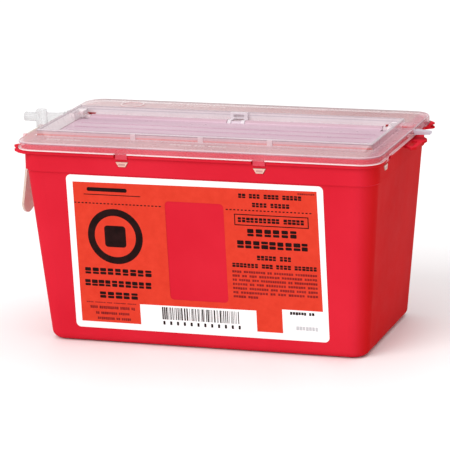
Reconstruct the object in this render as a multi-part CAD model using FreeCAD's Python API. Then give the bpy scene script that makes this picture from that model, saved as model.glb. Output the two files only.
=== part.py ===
import FreeCAD, Part
import math
import os

# Sharps container: a drafted tub, a press-on lid with a raised entry frame, a sunken entry door
# that turns with its axle, lever and end tab, and a hanging lock strap.
# Millimetres, +Z up, origin at the middle of the tub's rest face, -Y towards the label.

V = FreeCAD.Vector

# tub
WALL = 2.0
FLOOR = 2.4
FOOT_HALF = (118.1, 62.9)
FOOT_RADIUS = 12.0
MOUTH_HALF = (130.2, 75.0)
MOUTH_RADIUS = 15.0
MOUTH_Z = 142.0
FOOT_FILLET = 6.0
BAND_Z = 127.0
BAND_BLEND = 1.2
RIM_TOP = 146.1
FLANGE_Z = (139.4, 141.7)
FLANGE_OUT = 2.4
EAR_Z = (138.9, 140.6)
LUG_Z = (138.9, 142.9)
LUG_GROOVE = (140.1, 141.8)

# lid
LID_HALF = (133.35, 78.25)
LID_RADIUS = 14.5
SKIRT_Z = 142.0
LID_TOP = 148.2
PLATE = 2.0
SKIRT = 1.7
BEAD = 0.45
BEAD_TALL = 1.1
FRAME_X = 124.0
FRAME_Y = (-55.35, 31.0)
FRAME_TOP = 152.7
FRAME_WALL = 2.0
FRAME_RADIUS = 1.0
WELL_X = 117.3
WELL_Z = 140.6
RIB_X = (-50.8, -0.7, 49.9)
RIB_HALF = 1.9
RING_AT = (-92.5, 59.0)
RING_R = (9.0, 7.7)

# lid hooks: X stations on the long sides, Y stations on the short sides
HOOK_X = (-52.6, 48.2)
HOOK_Y = (-46.0, 46.0)
HOOK_Z = (132.6, 136.6)
HOOK_W = (5.6, 9.8)
TONGUE_HALF = 4.3
TONGUE_END = 138.4
BARB_OUT = 0.5

# door and its axle
AXIS_Y = 21.0
AXIS_Z = 145.5
AXLE_R = 2.0
RUN = 0.05
BARREL_R = 3.0
DOOR_X = 116.8
DOOR_FRONT = -52.9
DOOR_THICK = 2.0
DOOR_STEP_Y = 12.4
DOOR_RIB_Y = (-40.0, -27.0, -14.0, -1.0)
BARREL_X = 110.4
SLOT_X = (110.6, 115.7)
SLOT_Z = (145.4, 147.8)
BLOCK_X = 115.8
BLOCK_Y = (15.5, 26.5)
SLEEVE_R = 2.6
SLEEVE_END = 110.9
SHELF_Y = (10.0, 18.8)
SHELF_Z = (143.1, 144.1)
PAD_FRONT = 4.2
CLIP_X = 1.2
CLIP_HALF = 6.5
CLIP_LEG = 2.5
CLIP_THICK = 2.6
CLIP_TOP_Z = 152.6
CLIP_GAP_HALF = 7.0
CLIP_GAP_Y = 17.7
DRIVE_L = 2.8
DRIVE_R = 1.8
HUB_R = 3.4
LEVER_X = (-132.4, -124.4)
TAB_X = (134.3, 145.6)

# lock strap
STRAP_AXIS = (-136.6, 143.9)
STRAP_Y = (-41.2, -14.8)
STRAP_LONG = 59.4
STRAP_THICK = 1.6
STRAP_FLARE = 7.0
TRUNNION_R = 1.5
KNUCKLE_R = 2.3
LUG_Y = ((-44.6, -41.5), (-14.5, -11.4))

# label
LABEL_X = (-95.6, 93.0)
LABEL_S = (11.3, 125.9)
LABEL_THICK = 0.18
LABEL_RADIUS = 3.5
WINDOW_X = (-23.0, 20.4)
WINDOW_S = (36.2, 109.6)
WINDOW_RADIUS = 3.0

PARTS_DIR = "parts"


def box(x, y, z):
    """Box between the low and high values of each axis."""
    return Part.makeBox(x[1] - x[0], y[1] - y[0], z[1] - z[0], V(x[0], y[0], z[0]))


def cylinder_x(radius, x, y=AXIS_Y, z=AXIS_Z):
    return Part.makeCylinder(radius, x[1] - x[0], V(x[0], y, z), V(1, 0, 0))


def cylinder_y(radius, y, x, z):
    return Part.makeCylinder(radius, y[1] - y[0], V(x, y[0], z), V(0, 1, 0))


def round_rect(hx, hy, r, z):
    """Closed wire: a rectangle of half sizes hx, hy with corners of radius r at height z."""
    edges = []
    quarter = math.radians(45)
    corners = ((hx - r, hy - r, 0), (r - hx, hy - r, 90), (r - hx, r - hy, 180), (hx - r, r - hy, 270))
    for cx, cy, turn in corners:
        a = math.radians(turn)
        start = V(cx + r * math.cos(a), cy + r * math.sin(a), z)
        mid = V(cx + r * math.cos(a + quarter), cy + r * math.sin(a + quarter), z)
        end = V(cx + r * math.cos(a + 2 * quarter), cy + r * math.sin(a + 2 * quarter), z)
        if edges:
            edges.append(Part.makeLine(edges[-1].valueAt(edges[-1].LastParameter), start))
        else:
            first = start
        edges.append(Part.Arc(start, mid, end).toShape())
    edges.append(Part.makeLine(end, first))
    return Part.Wire(edges)


def slab(hx, hy, r, z):
    """Upright prism with a rounded rectangular outline."""
    face = Part.Face(round_rect(hx, hy, r, z[0]))
    return face.extrude(V(0, 0, z[1] - z[0]))


def offset_slab(half, r, grow, z):
    """Slab whose outline is grown, or shrunk when grow is negative, by the same amount all round."""
    return slab(half[0] + grow, half[1] + grow, r + grow, z)


def prism(points, along):
    """Straight extrusion of a closed polygon."""
    return Part.Face(Part.makePolygon([V(*p) for p in points + points[:1]])).extrude(V(*along))


def tub_size(z, inset=0.0):
    """Half sizes and corner radius of the drafted wall at height z."""
    t = z / MOUTH_Z
    hx = FOOT_HALF[0] + (MOUTH_HALF[0] - FOOT_HALF[0]) * t - inset
    hy = FOOT_HALF[1] + (MOUTH_HALF[1] - FOOT_HALF[1]) * t - inset
    return hx, hy, FOOT_RADIUS + (MOUTH_RADIUS - FOOT_RADIUS) * t - inset


def tub_loft(z0, z1, inset=0.0):
    wires = [round_rect(*tub_size(z, inset), z) for z in (z0, z1)]
    return Part.makeLoft(wires, True, True)


def edges_at(shape, z):
    return [e for e in shape.Edges if all(abs(v.Z - z) < 1e-6 for v in e.Vertexes)]


def upright_edges(shape):
    """Straight vertical edges."""
    found = []
    for e in shape.Edges:
        a, b = e.Vertexes[0].Point, e.Vertexes[-1].Point
        if abs(a.x - b.x) < 1e-6 and abs(a.y - b.y) < 1e-6 and abs(a.z - b.z) > 1e-6:
            found.append(e)
    return found


def hook_wedge(low, high, width, depth):
    """Trapezoid prism, narrow at the bottom, centred on X = 0 and running along +Y."""
    zs = (HOOK_Z[0] + low, HOOK_Z[1] - high)
    points = [(-width[0] / 2, depth[0], zs[0]), (width[0] / 2, depth[0], zs[0]),
              (width[1] / 2, depth[0], zs[1]), (-width[1] / 2, depth[0], zs[1])]
    return prism(points, (0, depth[1] - depth[0], 0))


def at_hooks(make):
    """One copy per lid hook. make(wall) builds it facing -Y at X = 0 for a wall at -Y = wall."""
    copies = []
    for x in HOOK_X:
        for turn in (0, 180):
            piece = make(MOUTH_HALF[1])
            piece.rotate(V(0, 0, 0), V(0, 0, 1), turn)
            piece.translate(V(x, 0, 0))
            copies.append(piece)
    for y in HOOK_Y:
        for turn in (90, 270):
            piece = make(MOUTH_HALF[0])
            piece.rotate(V(0, 0, 0), V(0, 0, 1), turn)
            piece.translate(V(0, y, 0))
            copies.append(piece)
    return copies


def outline_prism(points, z):
    """Upright prism from plan points."""
    return prism([(x, y, z[0]) for x, y in points], (0, 0, z[1] - z[0]))


def side_ear():
    """Flat plate beside the axle's end tab, with its window and a small barb."""
    plan = [(129.0, 0.0), (134.3, -4.7), (139.2, -10.0), (142.0, -6.4), (142.2, 8.0),
            (143.4, 18.5), (142.6, 21.5), (139.5, 26.0), (136.8, 33.6), (129.0, 37.0)]
    outer = outline_prism(plan, EAR_Z)
    outer = outer.makeFillet(0.6, [e for e in upright_edges(outer) if e.Vertexes[0].X > 135])
    hole = [(134.4, -1.6), (138.6, -5.6), (139.0, 8.0), (137.6, 12.5), (134.4, 13.5)]
    return outer.cut(outline_prism(hole, (EAR_Z[0] - 1, EAR_Z[1] + 1)))


def corner_lug():
    """Lift lug round a corner: a lower lobe, and an upper one that stands clear of the lid's skirt."""
    plan = [(122.0, 56.0), (131.5, 57.5), (136.6, 61.6), (137.7, 64.2), (136.4, 66.8),
            (131.5, 72.0), (126.0, 75.0), (122.0, 75.0)]
    lug = outline_prism(plan, LUG_Z)
    lug = lug.makeFillet(1.0, [e for e in upright_edges(lug) if e.Vertexes[0].X > 133])
    room_z = (FLANGE_Z[1], LUG_Z[1] + 1)
    lid_room = offset_slab(LID_HALF, LID_RADIUS, BEAD + 0.35, room_z)
    return lug.cut([lid_room, box((135.4, 140.0), (40.0, 80.0), LUG_GROOVE)])


def base_shell():
    outer = tub_loft(0, BAND_Z)
    outer = outer.makeFillet(FOOT_FILLET, edges_at(outer, 0))
    blend = Part.makeLoft([round_rect(*tub_size(BAND_Z - BAND_BLEND), BAND_Z - BAND_BLEND),
                           round_rect(*MOUTH_HALF, MOUTH_RADIUS, BAND_Z)], True, True)
    band = slab(*MOUTH_HALF, MOUTH_RADIUS, (BAND_Z, RIM_TOP))
    flange = offset_slab(MOUTH_HALF, MOUTH_RADIUS, FLANGE_OUT, FLANGE_Z)
    flange = flange.makeFillet(0.8, edges_at(flange, FLANGE_Z[0]) + edges_at(flange, FLANGE_Z[1]))
    flange = flange.cut(slab(*tub_size(MOUTH_Z, 0.8), (FLANGE_Z[0] - 1, FLANGE_Z[1] + 1)))

    def notch(wall):
        half = TONGUE_HALF + 1.0
        return box((-half, half), (-wall - 4, -wall), (FLANGE_Z[0] - 0.5, FLANGE_Z[1] + 0.5))
    for cutter in at_hooks(notch):
        flange = flange.cut(cutter)
    lugs = [corner_lug(), corner_lug()]
    lugs[1].rotate(V(0, 0, 0), V(0, 0, 1), 180)
    shell = outer.fuse([blend, band, flange, side_ear()] + lugs)

    cavity = tub_loft(FLOOR, BAND_Z, WALL)
    cavity = cavity.makeFillet(FOOT_FILLET - WALL, edges_at(cavity, FLOOR))
    throat = offset_slab(MOUTH_HALF, MOUTH_RADIUS, -WALL, (BAND_Z - 0.4, RIM_TOP + 1))
    shell = shell.cut(cavity.fuse(throat))

    def window(wall):
        return hook_wedge(0, 0, HOOK_W, (-wall - 1, -wall + WALL + 1))
    # gaps in the rim that the axle and its bearings pass through
    gaps = [box((s * 131 - 5, s * 131 + 5), (13.5, 28.5), (FLANGE_Z[1], RIM_TOP + 1)) for s in (-1, 1)]
    shell = shell.cut(at_hooks(window) + gaps)
    return shell.removeSplitter()


def entry_frame():
    """Raised frame round the entry and the well below it that the door closes onto."""
    mid = sum(FRAME_Y) / 2
    half = (FRAME_Y[1] - FRAME_Y[0]) / 2
    frame = slab(FRAME_X, half, FRAME_RADIUS, (LID_TOP - PLATE, FRAME_TOP))
    frame = frame.makeFillet(0.7, edges_at(frame, FRAME_TOP))
    frame.translate(V(0, mid, 0))
    well = slab(WELL_X + FRAME_WALL, half, FRAME_RADIUS, (WELL_Z, LID_TOP))
    well.translate(V(0, mid, 0))
    return frame.fuse(well)


def entry_mouth():
    """The opening through frame and well, its short sides sloped inwards."""
    y0 = FRAME_Y[0] + FRAME_WALL
    y1 = FRAME_Y[1] - FRAME_WALL
    low = LID_TOP - PLATE
    top = FRAME_X - FRAME_WALL
    slope = (top - WELL_X) / (FRAME_TOP - low)
    over = top + slope
    points = [(-WELL_X, y0, WELL_Z - 1), (WELL_X, y0, WELL_Z - 1), (WELL_X, y0, low),
              (over, y0, FRAME_TOP + 1), (-over, y0, FRAME_TOP + 1), (-WELL_X, y0, low)]
    return prism(points, (0, y1 - y0, 0))


def door_ledges():
    y0 = FRAME_Y[0] + FRAME_WALL
    z = (WELL_Z, AXIS_Z - DOOR_THICK / 2 - 0.4)
    front = box((-WELL_X, WELL_X), (y0, y0 + 2.8), z)
    sides = [box((s * (WELL_X - 1.05) - 1.05, s * (WELL_X - 1.05) + 1.05), (y0, BLOCK_Y[0] + 0.5), z)
             for s in (-1, 1)]
    back = box((-WELL_X, WELL_X), (AXIS_Y + BARREL_R + 0.6, FRAME_Y[1] - FRAME_WALL), (144.4, 147.2))
    return [front, back] + sides


def wall_pads():
    """Raised pads on the sloped short walls, in front of the bearings."""
    low = LID_TOP - PLATE
    top = FRAME_TOP - 0.5
    pads = []
    for s in (-1, 1):
        points = [(s * WELL_X, PAD_FRONT, low), (s * (WELL_X + 1.2), PAD_FRONT, top),
                  (s * (FRAME_X - 1.0), PAD_FRONT, top), (s * (FRAME_X - 1.0), PAD_FRONT, low)]
        pads.append(prism(points, (0, BLOCK_Y[0] + 0.5 - PAD_FRONT, 0)))
    return pads


def bearing_blocks():
    left = box((-FRAME_X, -BLOCK_X), BLOCK_Y, (WELL_Z, 151.2))
    right = box((BLOCK_X, LID_HALF[0] - 0.2), BLOCK_Y, (SKIRT_Z, 150.9))
    top = [e for e in right.Edges if all(v.Z > 150 for v in e.Vertexes)]
    blocks = [left, right.makeFillet(1.2, top)]
    # a sleeve round the axle and a shelf below it, between each block and the door's barrel
    for x in ((-BLOCK_X - 0.5, -SLEEVE_END), (SLEEVE_END, BLOCK_X + 0.5)):
        blocks.append(cylinder_x(SLEEVE_R, x))
        blocks.append(box(x, SHELF_Y, SHELF_Z))
    return blocks


def lid_cover():
    shell = slab(*LID_HALF, LID_RADIUS, (SKIRT_Z, LID_TOP))
    shell = shell.makeFillet(1.7, edges_at(shell, LID_TOP))
    bead = offset_slab(LID_HALF, LID_RADIUS, BEAD, (SKIRT_Z, SKIRT_Z + BEAD_TALL))
    bead = bead.makeFillet(0.4, edges_at(bead, SKIRT_Z) + edges_at(bead, SKIRT_Z + BEAD_TALL))
    shell = shell.fuse(bead)
    hollow = offset_slab(LID_HALF, LID_RADIUS, -SKIRT, (SKIRT_Z - 1, LID_TOP - PLATE))
    shell = shell.cut(hollow)

    def gap(wall):
        half = TONGUE_HALF + 0.6
        return box((-half, half), (-wall - 4.5, -wall - 2.4), (SKIRT_Z - 1, SKIRT_Z + BEAD_TALL + 0.1))
    shell = shell.cut(at_hooks(gap))
    shell = shell.fuse(entry_frame())
    shell = shell.cut(entry_mouth())

    def tongue(wall):
        # outer tab over the rim, and an inner leg whose barb fills the tub's window
        across = (-TONGUE_HALF, TONGUE_HALF)
        top = LID_TOP - PLATE + 0.2
        inside = -wall + WALL
        outer = box(across, (-wall - 1.3, -wall - 0.35), (TONGUE_END, top))
        root = box(across, (-wall - 1.8, -wall - 1.0), (SKIRT_Z + 0.3, top))
        leg = box(across, (inside + 0.4, inside + 1.8), (HOOK_Z[0] - 0.6, top))
        barb_w = (HOOK_W[0] - 0.7, HOOK_W[1] - 0.7)
        barb = hook_wedge(0.3, 0.3, barb_w, (-wall - BARB_OUT, inside + 0.8))
        return outer.fuse([root, leg, barb])
    rib_y = (FRAME_Y[0] - 1.0, FRAME_Y[0] + 0.5)
    rib_z = (LID_TOP - 0.5, FRAME_TOP - 0.5)
    ribs = [box((x - RIB_HALF, x + RIB_HALF), rib_y, rib_z) for x in RIB_X]
    ring = Part.makeCylinder(RING_R[0], 0.9, V(*RING_AT, LID_TOP - 0.4))
    ring = ring.cut(Part.makeCylinder(RING_R[1], 1.4, V(*RING_AT, LID_TOP - 0.6)))
    lug_x = (STRAP_AXIS[0] - 2.4, -LID_HALF[0] + 1.0)
    lugs = [box(lug_x, y, (SKIRT_Z, STRAP_AXIS[1] + 2.4)) for y in LUG_Y]
    shell = shell.fuse(door_ledges() + wall_pads() + bearing_blocks())
    shell = shell.fuse(at_hooks(tongue) + ribs + [ring] + lugs)

    hub_gap = box((-137.0, LEVER_X[1] + 0.3), (14.2, 27.8), (SKIRT_Z - 2, FRAME_TOP))
    bore = cylinder_x(AXLE_R + RUN, (-140.0, 140.0))
    pins = cylinder_y(TRUNNION_R + RUN, (-50.0, -5.0), *STRAP_AXIS)
    slot_y = (AXIS_Y + BARREL_R, FRAME_Y[1])
    slots = [box(SLOT_X, slot_y, SLOT_Z), box((-SLOT_X[1], -SLOT_X[0]), slot_y, SLOT_Z)]
    shell = shell.cut([hub_gap, bore, pins] + slots)
    return shell.removeSplitter()


def door_panel():
    z = (AXIS_Z - DOOR_THICK / 2, AXIS_Z + DOOR_THICK / 2)
    panel = box((-DOOR_X, DOOR_X), (DOOR_FRONT, DOOR_STEP_Y), z)
    panel = panel.makeFillet(1.6, [e for e in upright_edges(panel) if e.Vertexes[0].Y < 0])
    rear = box((-BARREL_X, BARREL_X), (DOOR_STEP_Y - 0.4, AXIS_Y), z)
    barrel = cylinder_x(BARREL_R, (-BARREL_X, BARREL_X))
    rib_z = (z[1] - 0.3, z[1] + 0.45)
    ribs = [box((-DOOR_X + 6, DOOR_X - 6), (y, y + 1.2), rib_z) for y in DOOR_RIB_Y]
    door = panel.fuse([rear, barrel] + ribs)
    gap = box((CLIP_X - CLIP_GAP_HALF, CLIP_X + CLIP_GAP_HALF), (CLIP_GAP_Y, AXIS_Y + BARREL_R + 1),
              (AXIS_Z - 6, AXIS_Z + 6))
    bore = cylinder_x(AXLE_R + 0.01, (-120.0, 120.0))
    return door.cut([gap, bore]).removeSplitter()


def square_bar(side, x):
    """Square bar along the door's axis."""
    return box(x, (AXIS_Y - side / 2, AXIS_Y + side / 2), (AXIS_Z - side / 2, AXIS_Z + side / 2))


def door_axle():
    """Round rod with square drives at both ends for the lever and the tab."""
    round_x = (LEVER_X[1] + 0.2, TAB_X[0] - 0.3)
    left = square_bar(DRIVE_L, (LEVER_X[0] - 0.4, round_x[0] + 1))
    right = square_bar(DRIVE_R, (round_x[1] - 1, 137.8))
    return cylinder_x(AXLE_R, round_x).fuse([left, right]).removeSplitter()


def door_lever():
    """Arm along the lid's left margin, with an upright head and a finger stub."""
    arm_x = (-130.4, -126.4)
    hub = cylinder_x(HUB_R, LEVER_X)
    arm = prism([(arm_x[0], 23.0, 143.9), (arm_x[0], 23.6, 147.6), (arm_x[0], 17.0, 150.6),
                 (arm_x[0], 4.0, 152.2), (arm_x[0], -24.0, 158.4), (arm_x[0], -29.0, 160.0),
                 (arm_x[0], -30.0, 149.0), (arm_x[0], 15.4, 149.0), (arm_x[0], 18.2, 144.2)],
                (arm_x[1] - arm_x[0], 0, 0))
    head = box((-132.8, -125.8), (-33.2, -28.6), (148.9, 162.4))
    head = head.makeFillet(1.3, [e for e in head.Edges if all(v.Z > 160 for v in e.Vertexes)])
    stub = Part.makeCylinder(3.4, 10.0, V(-132.4, -30.6, 156.3), V(-1, 0, 0))
    tip = [e for e in stub.Edges if all(v.X < -142 for v in e.Vertexes)]
    stub = stub.makeFillet(1.0, tip)
    nub = box((-129.6, -127.2), (19.6, 22.4), (AXIS_Z + 2.5, AXIS_Z + 5.4))
    lever = arm.fuse([hub, head, stub, nub])
    return lever.cut(square_bar(DRIVE_L + 0.02, (-140.0, -120.0))).removeSplitter()


def axle_end_tab():
    """Tapered flat tab on the axle's right end."""
    y = (AXIS_Y - 3.2, AXIS_Y + 3.2)
    tab = prism([(TAB_X[0], y[0], 143.8), (TAB_X[1], y[0], 144.2), (TAB_X[1], y[0], 145.8),
                 (TAB_X[0], y[0], 146.9)], (0, y[1] - y[0], 0))
    tab = tab.makeFillet(0.6, [e for e in upright_edges(tab) if e.Vertexes[0].X > 140])
    return tab.cut(square_bar(DRIVE_R + 0.02, (130.0, 138.0))).removeSplitter()


def hinge_clip():
    """Upright clip on the frame's back wall whose two legs reach down to rings round the axle."""
    face = FRAME_Y[1] - FRAME_WALL - 0.05
    depth = (face - CLIP_THICK, face)
    across = (CLIP_X - CLIP_HALF, CLIP_X + CLIP_HALF)
    clip = box(across, depth, (CLIP_TOP_Z - 1.3, CLIP_TOP_Z))
    parts = [box(across, depth, (148.2, 149.2))]
    for x in (across[0], across[1] - CLIP_LEG):
        parts.append(cylinder_x(BARREL_R - 0.1, (x, x + CLIP_LEG)))
        parts.append(prism([(x, depth[0], CLIP_TOP_Z - 0.5), (x, face, CLIP_TOP_Z - 0.5), (x, face, 147.3),
                            (x, AXIS_Y + 2.0, AXIS_Z + 1.9), (x, AXIS_Y + 1.0, AXIS_Z + 2.7),
                            (x, depth[0], 147.8)], (CLIP_LEG, 0, 0)))
    clip = clip.fuse(parts)
    return clip.cut(cylinder_x(AXLE_R + RUN, (-20.0, 20.0))).removeSplitter()


def lock_strap():
    """Blade with a rounded end on two trunnions, flared away from the tub."""
    x, z = STRAP_AXIS
    mid = sum(STRAP_Y) / 2
    top = 9.4
    low = 12.8
    end = z - STRAP_LONG
    outline = [V(x, mid - top, z), V(x, mid - low, end + 9), V(x, mid, end), V(x, mid + low, end + 9),
               V(x, mid + top, z)]
    edges = [Part.makeLine(outline[0], outline[1]), Part.Arc(outline[1], outline[2], outline[3]).toShape(),
             Part.makeLine(outline[3], outline[4]), Part.makeLine(outline[4], outline[0])]
    blade = Part.Face(Part.Wire(edges)).extrude(V(STRAP_THICK, 0, 0))
    blade.translate(V(-STRAP_THICK / 2, 0, 0))
    knuckle = cylinder_y(KNUCKLE_R, STRAP_Y, x, z)
    pin = cylinder_y(TRUNNION_R, (LUG_Y[0][0] + 0.2, LUG_Y[1][1] - 0.2), x, z)
    strap = blade.fuse([knuckle, pin]).removeSplitter()
    strap.rotate(V(x, 0, z), V(0, 1, 0), STRAP_FLARE)
    return strap


def label():
    """Thin rounded sheet on the drafted front wall, with a window onto the tub."""
    def sheet(x, s, r, y):
        hx, hs = (x[1] - x[0]) / 2, (s[1] - s[0]) / 2
        piece = slab(hx, hs, r, y)
        piece.rotate(V(0, 0, 0), V(1, 0, 0), 90)
        piece.translate(V(sum(x) / 2, 0, sum(s) / 2))
        return piece
    body = sheet(LABEL_X, LABEL_S, LABEL_RADIUS, (0.03, 0.03 + LABEL_THICK))
    body = body.cut(sheet(WINDOW_X, WINDOW_S, WINDOW_RADIUS, (-1, 1)))
    draft = math.degrees(math.atan2(MOUTH_HALF[1] - FOOT_HALF[1], MOUTH_Z))
    body.rotate(V(0, 0, 0), V(1, 0, 0), draft)
    body.translate(V(0, -FOOT_HALF[1], 0))
    return body


NODES = {
    "base_shell": base_shell,
    "lid_cover": lid_cover,
    "door_panel": door_panel,
    "door_axle": door_axle,
    "door_lever": door_lever,
    "axle_end_tab": axle_end_tab,
    "hinge_clip": hinge_clip,
    "lock_strap": lock_strap,
    "label": label,
}

os.makedirs(PARTS_DIR, exist_ok=True)
for name, make in NODES.items():
    shape = make()
    if shape.ShapeType == "Compound" and len(shape.Solids) == 1:
        shape = shape.Solids[0]
    print(name, len(shape.Solids), shape.isValid(), round(shape.Volume), shape.BoundBox)
    shape.exportStep(PARTS_DIR + "/" + name + ".step")
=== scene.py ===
import math
import random

import bmesh
import bpy
from mathutils import Matrix, Vector
from mathutils.geometry import tessellate_polygon


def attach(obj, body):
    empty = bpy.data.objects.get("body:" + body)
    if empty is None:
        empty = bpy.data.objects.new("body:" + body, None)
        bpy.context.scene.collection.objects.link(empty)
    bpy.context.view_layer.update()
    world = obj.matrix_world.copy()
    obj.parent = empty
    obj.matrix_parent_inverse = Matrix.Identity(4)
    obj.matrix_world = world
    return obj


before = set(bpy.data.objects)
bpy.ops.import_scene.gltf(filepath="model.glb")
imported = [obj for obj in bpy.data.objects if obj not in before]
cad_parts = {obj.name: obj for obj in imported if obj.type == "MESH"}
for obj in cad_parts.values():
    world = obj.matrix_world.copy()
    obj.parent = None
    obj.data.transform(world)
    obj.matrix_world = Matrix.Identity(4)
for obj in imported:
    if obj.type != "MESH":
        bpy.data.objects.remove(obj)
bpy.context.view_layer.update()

MM = 0.001                              # one millimetre in metres

# Surfaces that carry the print and the raised marks, in millimetres.
LABEL_DRAFT = math.atan2(12.1, 142.0)   # lean of the tub's front wall, in radians
WALL_FOOT_Y = -62.9                     # where that wall meets the rest plane
PLATE_TOP_Z = 148.2                     # top of the lid's flat plate

# Back and front of each thin piece, out from the surface it lies on, in millimetres.
FIELD_LEVEL = (0.212, 0.235)            # orange field on the white film
INK_LEVEL = (0.237, 0.258)              # black ink on the field
FINE_LEVEL = (0.237, 0.252)             # small print on the field
BARS_LEVEL = (0.212, 0.228)             # black ink on the white film
FAINT_LEVEL = (0.212, 0.226)            # grey ink on the white film
MARKS_LEVEL = (0.01, 0.2)               # raised marks on the lid's plate

WORD_GAP = 0.8                          # space between two words, in blocks
LABEL_SEED = 7
MARKS_SEED = 11

# Middles of the lid's hooks along its long and short sides, in metres.
HOOK_X = (-0.0526, 0.0482)
HOOK_Y = (-0.046, 0.046)

# Sockets of a Mix node that is set to colours: share, colours a and b, and the result.
MIX_SHARE, MIX_A, MIX_B, MIX_RESULT = 0, 6, 7, 2

# Camera, in degrees, metres and millimetres of lens.
CAMERA_AZIMUTH = 18.46
CAMERA_ELEVATION = 14.08
CAMERA_ROLL = -1.58
CAMERA_AIM = (-0.00291, 0.0, 0.07511)
CAMERA_AWAY = 2.08627
CAMERA_LENS = 230.96
CAMERA_SENSOR = 36.0

FLOOR_SIZE = 6.0                        # metres
FLOOR_DROP = 0.0004                     # metres below the rest plane
WORLD_LIGHT = 0.63


# ---------------------------------------------------------------- materials

class Nodes:
    """A material with a Principled shader and short helpers for its node tree."""

    def __init__(self, name):
        self.material = bpy.data.materials.new(name)
        self.material.use_nodes = True
        self.tree = self.material.node_tree
        self.shader = self.tree.nodes["Principled BSDF"]
        coords = self.add("ShaderNodeTexCoord")
        self.place = coords.outputs["Object"]
        self.facing = coords.outputs["Normal"]

    def add(self, kind, **settings):
        node = self.tree.nodes.new(kind)
        for key, value in settings.items():
            setattr(node, key, value)
        return node

    def link(self, out, into):
        self.tree.links.new(out, into)

    def set(self, **values):
        """Uniform values of the shader's sockets, with _ for each space in a socket's name."""
        for key, value in values.items():
            self.shader.inputs[key.replace("_", " ")].default_value = value
        return self

    def split(self, vector, axis):
        node = self.add("ShaderNodeSeparateXYZ")
        self.link(vector, node.inputs["Vector"])
        return node.outputs[axis]

    def step(self, value, start, end):
        """0 up to start and 1 from end on, or the other way round if end is the lower."""
        node = self.add("ShaderNodeMapRange")
        low, high = sorted((start, end))
        node.inputs["From Min"].default_value = low
        node.inputs["From Max"].default_value = high
        node.inputs["To Min"].default_value = 0.0 if start < end else 1.0
        node.inputs["To Max"].default_value = 1.0 if start < end else 0.0
        self.link(value, node.inputs["Value"])
        return node.outputs["Result"]

    def both(self, a, b):
        node = self.add("ShaderNodeMath", operation="MULTIPLY")
        self.link(a, node.inputs[0])
        self.link(b, node.inputs[1])
        return node.outputs[0]

    def between(self, value, low, high):
        """1 from low to high, with edges a fifth of a millimetre soft."""
        soft = 0.0001
        return self.both(self.step(value, low - soft, low + soft), self.step(value, high + soft, high - soft))

    def inverse(self, mask):
        return self.step(mask, 0.6, 0.4)

    def mix(self, share, a, b):
        """Colour a where share is 0, colour b where it is 1."""
        node = self.add("ShaderNodeMix", data_type="RGBA")
        self.link(share, node.inputs[MIX_SHARE])
        self.link(a, node.inputs[MIX_A])
        self.link(b, node.inputs[MIX_B])
        return node.outputs[MIX_RESULT]

    def noise(self, scale, detail, roughness=0.5, stretch=(1, 1, 1)):
        """Noise over the object, scale in features per metre."""
        mapping = self.add("ShaderNodeMapping")
        mapping.inputs["Scale"].default_value = stretch
        self.link(self.place, mapping.inputs["Vector"])
        node = self.add("ShaderNodeTexNoise")
        node.inputs["Scale"].default_value = scale
        node.inputs["Detail"].default_value = detail
        node.inputs["Roughness"].default_value = roughness
        self.link(mapping.outputs["Vector"], node.inputs["Vector"])
        return node.outputs["Fac"]

    def ramp(self, value, low, high, stops=(0.3, 0.7)):
        """Colours or greys between two stops of a value."""
        node = self.add("ShaderNodeValToRGB")
        for element, stop, shade in zip(node.color_ramp.elements, stops, (low, high)):
            element.position = stop
            element.color = (*shade, 1) if isinstance(shade, tuple) else (shade, shade, shade, 1)
        self.link(value, node.inputs["Fac"])
        return node.outputs["Color"]

    def colour(self, value, low, high):
        self.link(self.ramp(value, low, high), self.shader.inputs["Base Color"])

    def roughness(self, value, low, high):
        self.link(self.ramp(value, low, high), self.shader.inputs["Roughness"])

    def bump(self, *layers):
        """Layers of (value, height in metres), added up in one bump."""
        normal = None
        for value, height in layers:
            node = self.add("ShaderNodeBump")
            node.inputs["Strength"].default_value = 1.0
            node.inputs["Distance"].default_value = height
            self.link(value, node.inputs["Height"])
            if normal is not None:
                self.link(normal, node.inputs["Normal"])
            normal = node.outputs["Normal"]
        self.link(normal, self.shader.inputs["Normal"])


def moulded_surface(m, rough, grain=900, dimple=0.00002):
    """Slight changes of polish, fine grain and long shallow waves."""
    m.roughness(m.noise(60, 5, 0.65), *rough)
    m.bump((m.noise(grain, 2), dimple), (m.noise(22, 2), 0.00012))


def moulded(name, low, high, rough, grain=900, dimple=0.00002, **sockets):
    """Injection-moulded plastic with faint flow mottling."""
    m = Nodes(name)
    m.colour(m.noise(14, 4), low, high)
    moulded_surface(m, rough, grain, dimple)
    return m.set(**sockets).material


def clear_of_hooks(m, x, y, half):
    """1 round the lid's edge except within half of a hook's middle."""
    clear = None
    for value, stations in ((x, HOOK_X), (y, HOOK_Y)):
        for at in stations:
            off = m.inverse(m.between(value, at - half, at + half))
            clear = off if clear is None else m.both(clear, off)
    return clear


# Each zone of the lid is (mask, darker colour, lighter colour, share of light stopped). Masks are
# in metres, and a later zone covers an earlier one.

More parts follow.
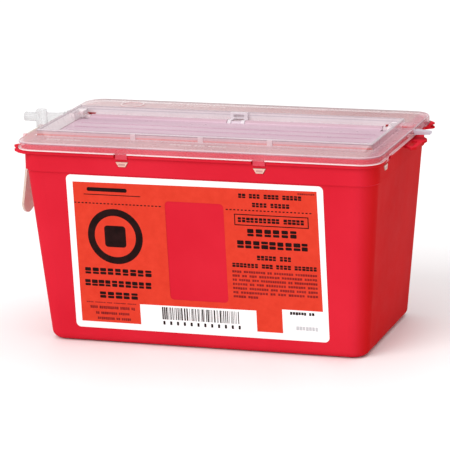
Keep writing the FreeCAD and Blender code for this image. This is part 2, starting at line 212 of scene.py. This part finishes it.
def plate_zones(m, x, y, z):
    """Hazy flats: greyer behind the frame, paler towards the back left, pinker at the right end."""
    flat = m.step(m.split(m.facing, "Z"), 0.25, 0.85)
    behind = m.both(flat, m.step(y, 0.030, 0.034))
    back_left = m.both(behind, m.step(x, 0.090, -0.090))
    back_edge = m.both(m.step(y, 0.0728, 0.0738), m.step(z, 0.1464, 0.1468))
    right_end = m.both(flat, m.step(x, 0.1240, 0.1262))
    return [
        (flat, (0.60, 0.36, 0.375), (0.69, 0.43, 0.445), 0.62),
        (behind, (0.52, 0.33, 0.34), (0.60, 0.38, 0.39), 0.64),
        (back_left, (0.69, 0.54, 0.55), (0.77, 0.61, 0.62), 0.68),
        (back_edge, (0.44, 0.33, 0.34), (0.52, 0.39, 0.40), 0.80),
        (right_end, (0.52, 0.24, 0.285), (0.60, 0.30, 0.345), 0.62),
    ]


def frame_zones(m, x, y, z, inside):
    """Well and raised frame, with fine lines along the walls, a painted highlight along the top edge and
    whitish ribs on the front one.
    """
    well = m.both(inside, m.step(z, 0.1466, 0.1464))
    raised = m.both(inside, m.step(z, 0.1465, 0.1467))
    ends = m.both(raised, m.inverse(m.between(x, -0.1152, 0.1152)))
    right_wall = m.both(raised, m.step(x, 0.1234, 0.1236))
    back = m.step(y, 0.0243, 0.0247)
    back_wall = m.both(raised, back)
    back_line = m.both(m.between(z, 0.1502, 0.1508), back)
    front = m.step(y, -0.0545, -0.0547)
    front_wall = m.both(raised, front)
    # Painted highlight: a pale line along the top edge of the raised frame.
    crest_highlight = m.both(raised, m.step(z, 0.1519, 0.1522))
    front_line = m.both(m.between(z, 0.1514, 0.1520), front)
    foot_line = m.both(m.between(z, 0.1484, 0.1497), m.step(y, -0.0551, -0.0553))
    ribs = m.both(raised, m.step(y, -0.0558, -0.0560))
    return [
        (well, (0.74, 0.60, 0.66), (0.82, 0.68, 0.74), 0.62),
        (raised, (0.74, 0.60, 0.63), (0.84, 0.71, 0.74), 0.46),
        (ends, (0.95, 0.84, 0.86), (0.99, 0.90, 0.92), 0.78),
        (right_wall, (0.88, 0.48, 0.56), (0.95, 0.55, 0.63), 0.52),
        (back_wall, (0.80, 0.72, 0.75), (0.86, 0.78, 0.81), 0.75),
        (back_line, (0.60, 0.54, 0.60), (0.68, 0.61, 0.67), 0.72),
        (front_wall, (0.76, 0.47, 0.49), (0.86, 0.56, 0.58), 0.43),
        (crest_highlight, (0.60, 0.51, 0.55), (0.68, 0.58, 0.62), 0.70),
        (front_line, (0.30, 0.23, 0.27), (0.38, 0.30, 0.34), 0.72),
        (foot_line, (0.82, 0.22, 0.20), (0.88, 0.32, 0.29), 0.50),
        (ribs, (0.80, 0.62, 0.64), (0.88, 0.70, 0.72), 0.54),
    ]


def edge_zones(m, x, y, z, inside):
    """Fine lines round the plate, the ring mark, a painted highlight along the plate's edge, a painted
    highlight along the skirt's bottom edge that is dimmer at the right end, and painted shade on the skirt's
    back right corner.
    """
    outside = m.inverse(inside)
    rim = m.both(outside, m.step(y, 0.0738, 0.0728))
    # Painted highlight: a pale line along the plate's rounded outer edge, left out at the back.
    rim_highlight = m.both(m.between(z, 0.1473, 0.1479), rim)
    rim_dark = m.both(m.between(z, 0.1465, 0.1473), rim)
    ring = m.both(m.step(z, 0.1484, 0.1486), m.step(y, 0.0450, 0.0460))
    # Painted highlight: a pale line along the skirt's bottom edge, painted dimmer and redder at the right
    # end.
    bead_highlight = m.both(m.between(z, 0.1419, 0.1427), m.both(outside, clear_of_hooks(m, x, y, 0.0046)))
    bead_highlight_right = m.both(bead_highlight, m.step(x, 0.1320, 0.1332))
    # Painted shade: the skirt's back right corner is darkened.
    corner = m.both(m.step(x, 0.1296, 0.1312), m.step(y, 0.036, 0.044))
    shaded_corner_skirt = m.both(corner, m.step(z, 0.1478, 0.1472))
    return [
        (rim_highlight, (0.62, 0.51, 0.56), (0.70, 0.59, 0.64), 0.66),
        (rim_dark, (0.34, 0.15, 0.20), (0.42, 0.20, 0.25), 0.55),
        (ring, (0.84, 0.74, 0.74), (0.90, 0.80, 0.80), 0.76),
        (bead_highlight, (0.88, 0.78, 0.78), (0.96, 0.88, 0.88), 0.76),
        (bead_highlight_right, (0.80, 0.46, 0.49), (0.88, 0.56, 0.59), 0.62),
        (shaded_corner_skirt, (0.46, 0.13, 0.17), (0.54, 0.18, 0.22), 0.62),
    ]


def hook_zones(m, x, y, z):
    """Red tongues below the skirt, and cream barbs with a darker middle."""
    tongue = m.step(z, 0.1419, 0.1417)
    barb = m.step(z, 0.1373, 0.1371)
    middle = m.both(m.between(z, 0.1338, 0.1352), m.inverse(clear_of_hooks(m, x, y, 0.0024)))
    return [
        (tongue, (0.66, 0.03, 0.06), (0.74, 0.05, 0.09), 0.80),
        (barb, (0.70, 0.38, 0.30), (0.80, 0.49, 0.40), 0.94),
        (m.both(barb, middle), (0.46, 0.20, 0.19), (0.56, 0.28, 0.26), 0.94),
    ]


def slot_zones(m, x, y, z, inside):
    """Red inside the two small slots at the ends of the frame's back wall."""
    back_wall = m.both(inside, m.step(y, 0.0284, 0.0286))
    slots = m.both(m.between(z, 0.1452, 0.1479), m.inverse(m.between(x, -0.1104, 0.1104)))
    return [(m.both(back_wall, slots), (0.72, 0.02, 0.03), (0.80, 0.03, 0.04), 0.94)]


def lid_plastic():
    """See-through frosted plastic: the clear skirt, and over it every zone in turn."""
    m = Nodes("lid_frosted_plastic")
    x, y, z = (m.split(m.place, axis) for axis in "XYZ")
    mottle = m.noise(16, 4)
    inside = m.both(m.between(x, -0.1256, 0.1256), m.between(y, -0.0574, 0.0325))
    zones = plate_zones(m, x, y, z) + frame_zones(m, x, y, z, inside) + edge_zones(m, x, y, z, inside)
    zones += hook_zones(m, x, y, z) + slot_zones(m, x, y, z, inside)
    colour = m.ramp(mottle, (0.94, 0.21, 0.27), (0.99, 0.28, 0.34))
    stopped = m.ramp(mottle, 0.20, 0.28)
    for mask, low, high, share in zones:
        colour = m.mix(mask, colour, m.ramp(mottle, low, high))
        stopped = m.mix(mask, stopped, m.ramp(mottle, share - 0.04, share + 0.04))
    m.link(colour, m.shader.inputs["Base Color"])
    m.link(stopped, m.shader.inputs["Alpha"])
    m.roughness(m.noise(60, 5, 0.65), 0.22, 0.34)
    m.bump((m.noise(1100, 2), 0.000012), (m.noise(20, 2), 0.00010))
    return m.set(IOR=1.49).material


def tub_plastic():
    """Opaque red plastic, with painted shade: a darker red on faces turned to the right (+X)."""
    m = Nodes("tub_red_plastic")
    mottle = m.noise(14, 4)
    # Painted shade: faces turned to +X, the right-hand wall, are mixed to a darker red.
    painted_shade_side = m.step(m.split(m.facing, "X"), 0.3, 0.9)
    front = m.ramp(mottle, (0.59, 0.014, 0.029), (0.645, 0.020, 0.038))
    painted_shade_red = m.ramp(mottle, (0.54, 0.008, 0.010), (0.60, 0.012, 0.014))
    m.link(m.mix(painted_shade_side, front, painted_shade_red), m.shader.inputs["Base Color"])
    moulded_surface(m, (0.32, 0.44))
    return m.set(Specular_IOR_Level=0.003).material


def lever_plastic():
    """Clear plastic, hazier in the thick head and greyest in the solid stub."""
    m = Nodes("lever_clear_plastic")
    mottle = m.noise(14, 4)
    x, y = (m.split(m.place, axis) for axis in "XY")
    m.colour(mottle, (0.46, 0.45, 0.46), (0.56, 0.55, 0.56))
    head = m.step(y, -0.0278, -0.0282)
    stub = m.step(x, -0.1326, -0.1330)
    hazy = m.mix(head, m.ramp(mottle, 0.20, 0.24), m.ramp(mottle, 0.28, 0.34))
    m.link(m.mix(stub, hazy, m.ramp(mottle, 0.36, 0.42)), m.shader.inputs["Alpha"])
    moulded_surface(m, (0.10, 0.20))
    return m.set(IOR=1.49).material


def door_plastic():
    """Lilac plastic with pale streaks along the axle, pinker on the barrel."""
    m = Nodes("door_lilac_plastic")
    y, z = (m.split(m.place, axis) for axis in "YZ")
    streak = m.noise(26, 4, 0.6, stretch=(0.18, 1, 1))
    stops = (0.38, 0.68)
    barrel = m.both(m.step(y, 0.0178, 0.0190), m.step(z, 0.1466, 0.1474))
    lilac = m.ramp(streak, (0.58, 0.375, 0.465), (0.74, 0.54, 0.625), stops)
    pinker = m.ramp(streak, (0.54, 0.33, 0.40), (0.64, 0.43, 0.50), stops)
    m.link(m.mix(barrel, lilac, pinker), m.shader.inputs["Base Color"])
    m.roughness(m.noise(55, 4), 0.25, 0.42)
    m.bump((m.noise(900, 2), 0.00002), (streak, 0.00018))
    return m.set(Alpha=0.86, IOR=1.49).material


def make_materials():
    """One material for each CAD node, by the node's name."""
    return {
        "base_shell": tub_plastic(),
        "lid_cover": lid_plastic(),
        "door_panel": door_plastic(),
        "door_axle": moulded("axle_frosted_plastic", (0.70, 0.56, 0.64), (0.78, 0.64, 0.72), (0.3, 0.4),
                             Alpha=0.9),
        "door_lever": lever_plastic(),
        "axle_end_tab": moulded("tab_white_plastic", (0.50, 0.42, 0.50), (0.60, 0.52, 0.60), (0.25, 0.35),
                                Alpha=0.95),
        "hinge_clip": moulded("clip_white_plastic", (0.88, 0.80, 0.84), (0.95, 0.88, 0.92), (0.3, 0.4),
                              Alpha=0.64),
        "lock_strap": moulded("strap_frosted_plastic", (0.67, 0.54, 0.44), (0.77, 0.65, 0.54), (0.3, 0.4),
                              Alpha=0.70),
        "label": moulded("label_white_film", (0.86, 0.86, 0.86), (0.92, 0.92, 0.92), (0.30, 0.40),
                         grain=2500, dimple=0.000004, Specular_IOR_Level=0.15),
    }


def dress_nodes():
    for node, material in make_materials().items():
        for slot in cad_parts[node].material_slots:
            slot.material = material


# ---------------------------------------------------------------- print and raised marks

def ink(name, low, high):
    m = Nodes(name)
    m.colour(m.noise(160, 5, 0.6), low, high)
    m.roughness(m.noise(300, 3), 0.35, 0.5)
    m.bump((m.noise(2600, 2), 0.000004))
    return m.set(Specular_IOR_Level=0.03).material


def on_wall(x, s, out):
    """Point on the front wall: x along it, s up its slope from the foot, out from its surface (mm)."""
    y = WALL_FOOT_Y - s * math.sin(LABEL_DRAFT) - out * math.cos(LABEL_DRAFT)
    z = s * math.cos(LABEL_DRAFT) - out * math.sin(LABEL_DRAFT)
    return Vector((x, y, z)) * MM


def on_plate(x, y, out):
    """Point above the lid's flat plate (mm)."""
    return Vector((x, y, PLATE_TOP_Z + out)) * MM


def rect(x, s, radius=0.0, steps=3):
    """Counter-clockwise outline of a rectangle, its corners rounded if a radius is given."""
    if not radius:
        return [(x[0], s[0]), (x[1], s[0]), (x[1], s[1]), (x[0], s[1])]
    points = []
    for cx, cs, turn in ((x[1] - radius, s[0] + radius, -90), (x[1] - radius, s[1] - radius, 0),
                         (x[0] + radius, s[1] - radius, 90), (x[0] + radius, s[0] + radius, 180)):
        for k in range(steps + 1):
            a = math.radians(turn + 90 * k / steps)
            points.append((cx + radius * math.cos(a), cs + radius * math.sin(a)))
    return points


def circle(x, s, radius, steps=48):
    turns = [2 * math.pi * k / steps for k in range(steps)]
    return [(x + radius * math.cos(a), s + radius * math.sin(a)) for a in turns]


def print_piece(name, shapes, level, material, place=on_wall):
    """Closed thin slabs on a surface. Each shape is a list of loops: its outline, then its holes."""
    bm = bmesh.new()
    for loops in shapes:
        flat = [p for loop in loops for p in loop]
        back = [bm.verts.new(place(*p, level[0])) for p in flat]
        front = [bm.verts.new(place(*p, level[1])) for p in flat]
        for tri in tessellate_polygon([[Vector((*p, 0)) for p in loop] for loop in loops]):
            bm.faces.new([front[i] for i in tri])
            bm.faces.new([back[i] for i in reversed(tri)])
        start = 0
        for loop in loops:
            n = len(loop)
            for k in range(n):
                i, j = start + k, start + (k + 1) % n
                bm.faces.new([back[i], back[j], front[j], front[i]])
            start += n
    bmesh.ops.recalc_face_normals(bm, faces=bm.faces)
    mesh = bpy.data.meshes.new(name)
    bm.to_mesh(mesh)
    bm.free()
    obj = bpy.data.objects.new(name, mesh)
    mesh.materials.append(material)
    bpy.context.scene.collection.objects.link(obj)
    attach(obj, "container")


def word_blocks(rng, x, s, words, split=True):
    """A line of plain blocks in place of words: words gives each word's number of blocks."""
    pitch = (x[1] - x[0]) / (sum(words) + WORD_GAP * (len(words) - 1))
    tall = s[1] - s[0]
    shapes = []
    at = x[0]
    for count in words:
        for _ in range(count):
            wide = pitch * rng.uniform(0.74, 0.88)
            bar = (at, at + wide)
            if split:
                cut = s[0] + tall * rng.uniform(0.36, 0.60)
                radius = min(wide, tall) * 0.12
                shapes.append([rect(bar, (s[0], cut - tall * 0.05), radius, 2)])
                shapes.append([rect(bar, (cut + tall * 0.05, s[1]), radius, 2)])
            else:
                shapes.append([rect(bar, (s[0] + tall * rng.uniform(0.0, 0.15), s[1]))])
            at += pitch
        at += WORD_GAP * pitch
    return shapes


def block_rows(rng, rows, split):
    """Lines of blocks, each row an x range, an s range and its words."""
    shapes = []
    for x, s, words in rows:
        shapes += word_blocks(rng, x, s, words, split)
    return shapes


def dashes(x, s):
    """A dashed line at height s over the range x."""
    step, on, tall = 2.75, 1.55, 0.8
    starts = [x[0] + k * step for k in range(int((x[1] - x[0]) / step))]
    return [[rect((at, at + on), (s - tall / 2, s + tall / 2))] for at in starts]


def heading_blocks(rng):
    """Blocks in place of the larger words, and the thin box round one line of them."""
    rows = (
        ((-86.0, -35.0), (52.2, 57.0), [9]),
        ((-86.6, -35.9), (43.2, 47.9), [10]),
        ((-76.0, -46.4), (34.4, 39.2), [5]),
        ((31.6, 77.6), (114.8, 118.0), [2, 3, 4, 5]),
        ((41.4, 68.7), (108.5, 111.7), [4, 5]),
        ((30.4, 79.0), (97.0, 100.6), [10, 5]),
        ((36.8, 74.2), (87.0, 92.4), [6]),
        ((29.0, 81.7), (78.0, 83.6), [9]),
        ((43.0, 68.3), (69.6, 73.0), [5, 3]),
        ((24.6, 86.6), (63.6, 66.7), [7, 3, 4, 6]),
    )
    box_line = [rect((27.8, 81.7), (94.6, 103.0)), rect((28.5, 81.0), (95.3, 102.3))[::-1]]
    return block_rows(rng, rows, split=True) + [box_line]


def fine_blocks(rng):
    """Blocks in place of the small print: a paragraph on the right, and five single lines."""
    paragraph = ([4, 9, 2, 8, 9], [3, 2, 3, 8, 8, 5], [2, 5, 3, 11, 2, 10], [6, 2, 3, 8, 7, 4],
                 [6, 8, 3, 6, 4, 4], [2, 10, 2, 3, 6, 4], [5, 4])
    left, right, last_right = 24.3, 86.4, 42.6
    bottom, top, pitch = 59.3, 61.1, 3.1
    rows = []
    for k, words in enumerate(paragraph):
        end = right if k < len(paragraph) - 1 else last_right
        rows.append(((left, end), (bottom - pitch * k, top - pitch * k), words))
    rows += [
        ((74.6, 87.0), (119.0, 120.2), [8]),
        ((-86.5, -49.0), (30.4, 31.2), [4, 6, 3, 7, 5]),
        ((-84.0, -50.0), (26.0, 28.2), [4, 10, 5, 2]),
        ((-80.0, -54.5), (21.8, 23.8), [2, 9, 6]),
        ((-79.0, -53.5), (17.8, 19.8), [9, 2, 5]),
    ]
    return block_rows(rng, rows, split=False)


def bar_pattern(rng):
    """Upright bars at random, a row of blocks below them, and a short line of blocks beside."""
    bars = []
    at = -29.8
    while at < 27.0:
        wide = rng.choice((0.35, 0.35, 0.7, 1.05))
        bars.append([rect((at, at + wide), (20.9, 30.2))])
        at += wide + rng.choice((0.4, 0.4, 0.75, 1.1))
    bars += word_blocks(rng, (65.1, 83.1), (30.3, 32.6), [6, 2], split=False)
    pitch = 5.1
    bars += [[rect((-29.4 + pitch * k, -27.8 + pitch * k), (16.9, 19.7), 0.4, 2)] for k in range(12)]
    return bars


def print_label():
    """Every printed layer of the label, in millimetres along and up the front wall."""
    rng = random.Random(LABEL_SEED)
    orange = ink("ink_orange", (0.63, 0.040, 0.020), (0.69, 0.050, 0.026))
    black = ink("ink_black", (0.010, 0.004, 0.004), (0.022, 0.008, 0.008))
    brown = ink("ink_brown", (0.16, 0.012, 0.012), (0.26, 0.02, 0.018))
    grey = ink("ink_grey", (0.48, 0.48, 0.50), (0.60, 0.60, 0.62))

    outline = [(-91.0, 16.0), (-46.2, 16.0), (-46.2, 31.2), (40.4, 31.9), (40.4, 16.2), (59.4, 16.2),
               (59.4, 34.0), (89.2, 34.0), (88.4, 122.0), (-90.9, 120.8)]
    window = rect((-22.9, 20.3), (36.3, 109.5), 3.0, 6)[::-1]
    print_piece("label_orange_field", [[outline, window]], FIELD_LEVEL, orange)

    round_mark = [[circle(-61.4, 81.2, 20.6), circle(-61.4, 81.2, 15.4)[::-1]],
                  [rect((-69.4, -53.4), (73.2, 89.2), 2.4, 6)]]
    print_piece("label_round_mark", round_mark, INK_LEVEL, black)

    plain_bars = [[rect((-80.5, -50.5), (114.3, 117.2), 1.2)], [rect((-83.0, -40.6), (111.6, 112.2), 0.25)]]
    print_piece("label_plain_bars", plain_bars, INK_LEVEL, black)

    print_piece("label_heading_blocks", heading_blocks(rng), INK_LEVEL, black)
    fill_line = dashes((-90.6, -23.4), 105.4) + dashes((22.0, 87.6), 105.9)
    print_piece("label_fill_line", fill_line, INK_LEVEL, black)
    print_piece("label_fine_print", fine_blocks(rng), FINE_LEVEL, brown)
    print_piece("label_bar_pattern", bar_pattern(rng), BARS_LEVEL, black)
    faint = word_blocks(rng, (69.2, 85.5), (19.0, 22.0), [7], split=False)
    print_piece("label_faint_blocks", faint, FAINT_LEVEL, grey)


def raised_marks():
    """Small plain raised blocks on the lid's plate: two rows behind the frame, two lines before it."""
    rng = random.Random(MARKS_SEED)
    rows = (
        ((-66.0, -20.0), (60.0, 63.2), [5, 7, 4]),
        ((-66.0, -20.0), (66.0, 69.2), [5, 7, 4]),
        ((-112.0, -86.0), (-67.0, -64.6), [4, 5]),
        ((-20.0, 22.0), (-67.0, -64.6), [6, 3, 5]),
    )
    pale = moulded("marks_pale_plastic", (0.80, 0.66, 0.66), (0.88, 0.74, 0.74), (0.25, 0.35), Alpha=0.55)
    print_piece("lid_raised_marks", block_rows(rng, rows, split=False), MARKS_LEVEL, pale, on_plate)


# ---------------------------------------------------------------- floor, light and camera

def pale_floor():
    m = Nodes("pale_floor")
    m.colour(m.noise(3, 2), (0.90, 0.90, 0.90), (0.94, 0.94, 0.94))
    m.set(Roughness=0.6)
    mesh = bpy.data.meshes.new("floor")
    s = FLOOR_SIZE / 2
    mesh.from_pydata([(-s, -s, 0), (s, -s, 0), (s, s, 0), (-s, s, 0)], [], [(0, 1, 2, 3)])
    mesh.materials.append(m.material)
    floor = bpy.data.objects.new("floor", mesh)
    floor.location = (0, 0, -FLOOR_DROP)
    bpy.context.scene.collection.objects.link(floor)


def soft_sun(name, toward, strength, spread):
    """A distant light of the given angular size that shines from the direction toward."""
    data = bpy.data.lights.new(name, "SUN")
    data.energy = strength
    data.angle = math.radians(spread)
    obj = bpy.data.objects.new(name, data)
    obj.rotation_euler = Vector(toward).to_track_quat("Z", "Y").to_euler()
    bpy.context.scene.collection.objects.link(obj)


def soft_studio():
    world = bpy.data.worlds.new("studio")
    bpy.context.scene.world = world
    world.use_nodes = True
    background = world.node_tree.nodes["Background"]
    background.inputs["Color"].default_value = (1, 1, 1, 1)
    background.inputs["Strength"].default_value = WORLD_LIGHT
    soft_sun("key", (-0.7, -1.5, 1.25), strength=1.75, spread=45)
    soft_sun("top", (0.1, 0.3, 1.6), strength=1.0, spread=70)


def camera():
    """A long lens from the front right, a little above the lid, rolled slightly."""
    azimuth, elevation, roll = (math.radians(a) for a in (CAMERA_AZIMUTH, CAMERA_ELEVATION, CAMERA_ROLL))
    back = Vector((math.sin(azimuth) * math.cos(elevation), -math.cos(azimuth) * math.cos(elevation),
                   math.sin(elevation)))
    right = (-back).cross(Vector((0, 0, 1))).normalized()
    up = right.cross(-back)
    rolled_right = right * math.cos(roll) + up * math.sin(roll)
    rolled_up = up * math.cos(roll) - right * math.sin(roll)
    turned = Matrix((rolled_right, rolled_up, back)).transposed().to_4x4()
    data = bpy.data.cameras.new("camera")
    data.sensor_width = CAMERA_SENSOR
    data.lens = CAMERA_LENS
    data.clip_start, data.clip_end = 0.1, 20
    obj = bpy.data.objects.new("camera", data)
    obj.matrix_world = Matrix.Translation(Vector(CAMERA_AIM) + back * CAMERA_AWAY) @ turned
    bpy.context.scene.collection.objects.link(obj)
    bpy.context.scene.camera = obj


dress_nodes()
print_label()
raised_marks()
pale_floor()
soft_studio()
camera()
bpy.context.scene.view_settings.view_transform = "Standard"
